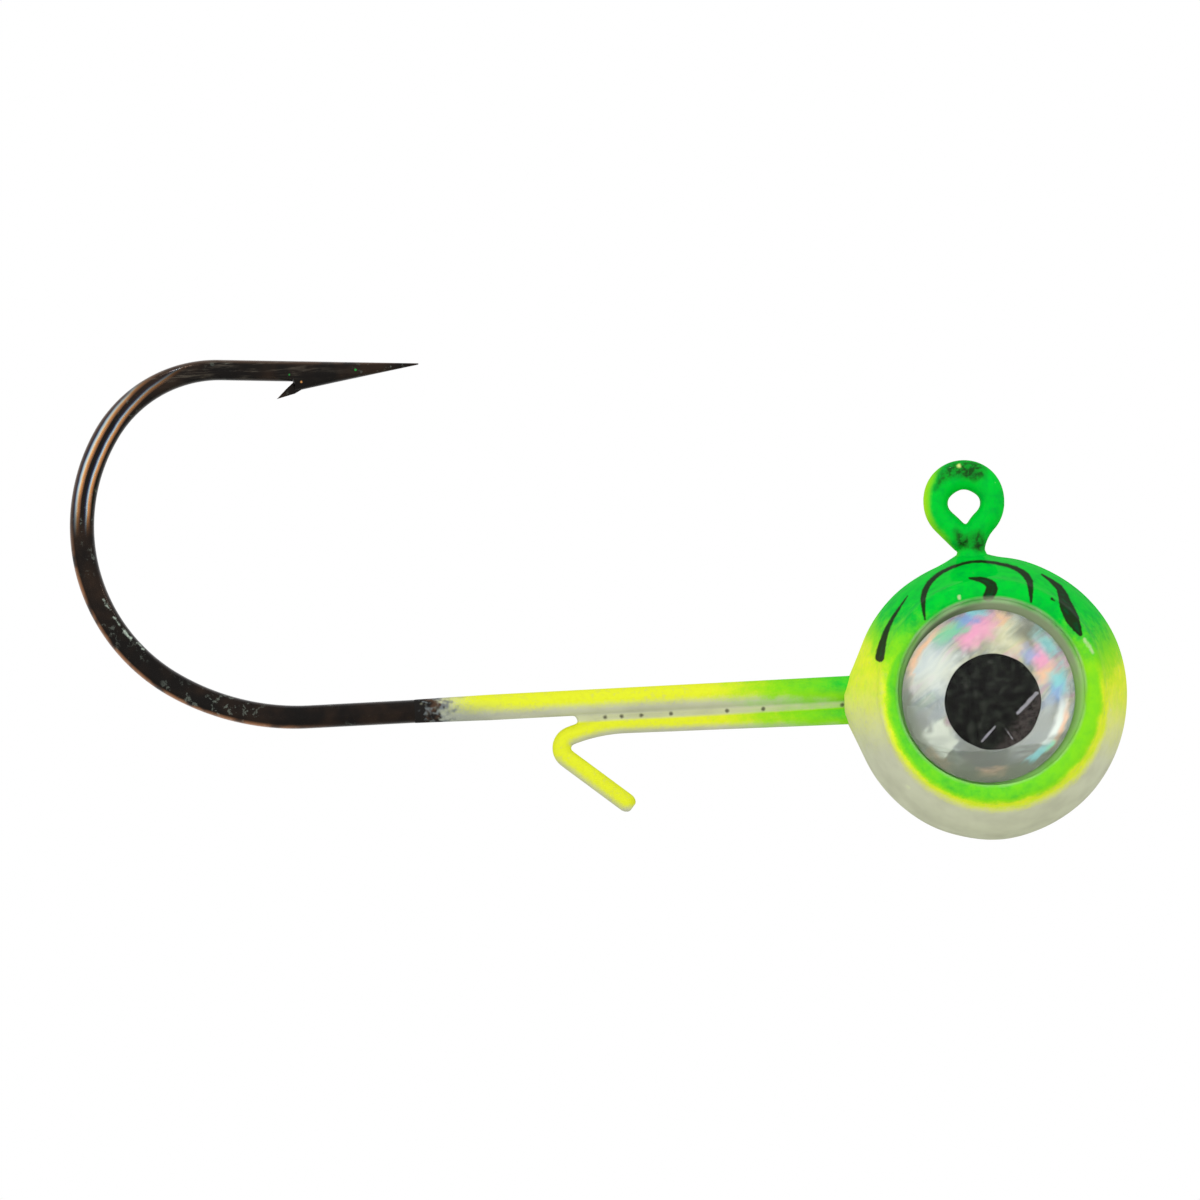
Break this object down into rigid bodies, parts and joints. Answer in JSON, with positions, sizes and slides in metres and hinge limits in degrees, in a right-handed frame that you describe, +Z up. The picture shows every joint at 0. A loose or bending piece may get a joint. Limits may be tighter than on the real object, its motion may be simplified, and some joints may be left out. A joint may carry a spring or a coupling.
{
  "type": "jig head",
  "caption": "Ball jig head: a round cast weight on a barbed hook, with a line eye on top, a wire bait keeper under the shank and a domed eye in a raised rim on each side.",
  "frame": {"origin": "centre of the line eye's hole", "axes": "+X forward, away from the hook's bend; +Y out of the left eye, along the line eye's hole; +Z up, the way the line leaves. The hook and the keeper lie in the XZ plane."},
  "size_m": [0.0317, 0.0078, 0.0158],
  "materials": {
    "black_nickel": "polished",
    "keeper_wire": "satin",
    "lead": "matte",
    "enamel": "gloss",
    "eye_adhesive": "matte",
    "holographic_foil": "polished",
    "pupil_ink": "gloss",
    "clear_epoxy": "polished"
  },
  "bodies": {
    "root": {"hook": "black_nickel", "bait_keeper": "keeper_wire", "head_casting": "lead", "enamel_coat": "enamel", "left_eye_pad": "eye_adhesive", "left_eye_foil": "holographic_foil", "left_eye_pupil": "pupil_ink", "left_eye_dome": "clear_epoxy", "right_eye_pad": "eye_adhesive", "right_eye_foil": "holographic_foil", "right_eye_pupil": "pupil_ink", "right_eye_dome": "clear_epoxy"}
  },
  "joints": []
}
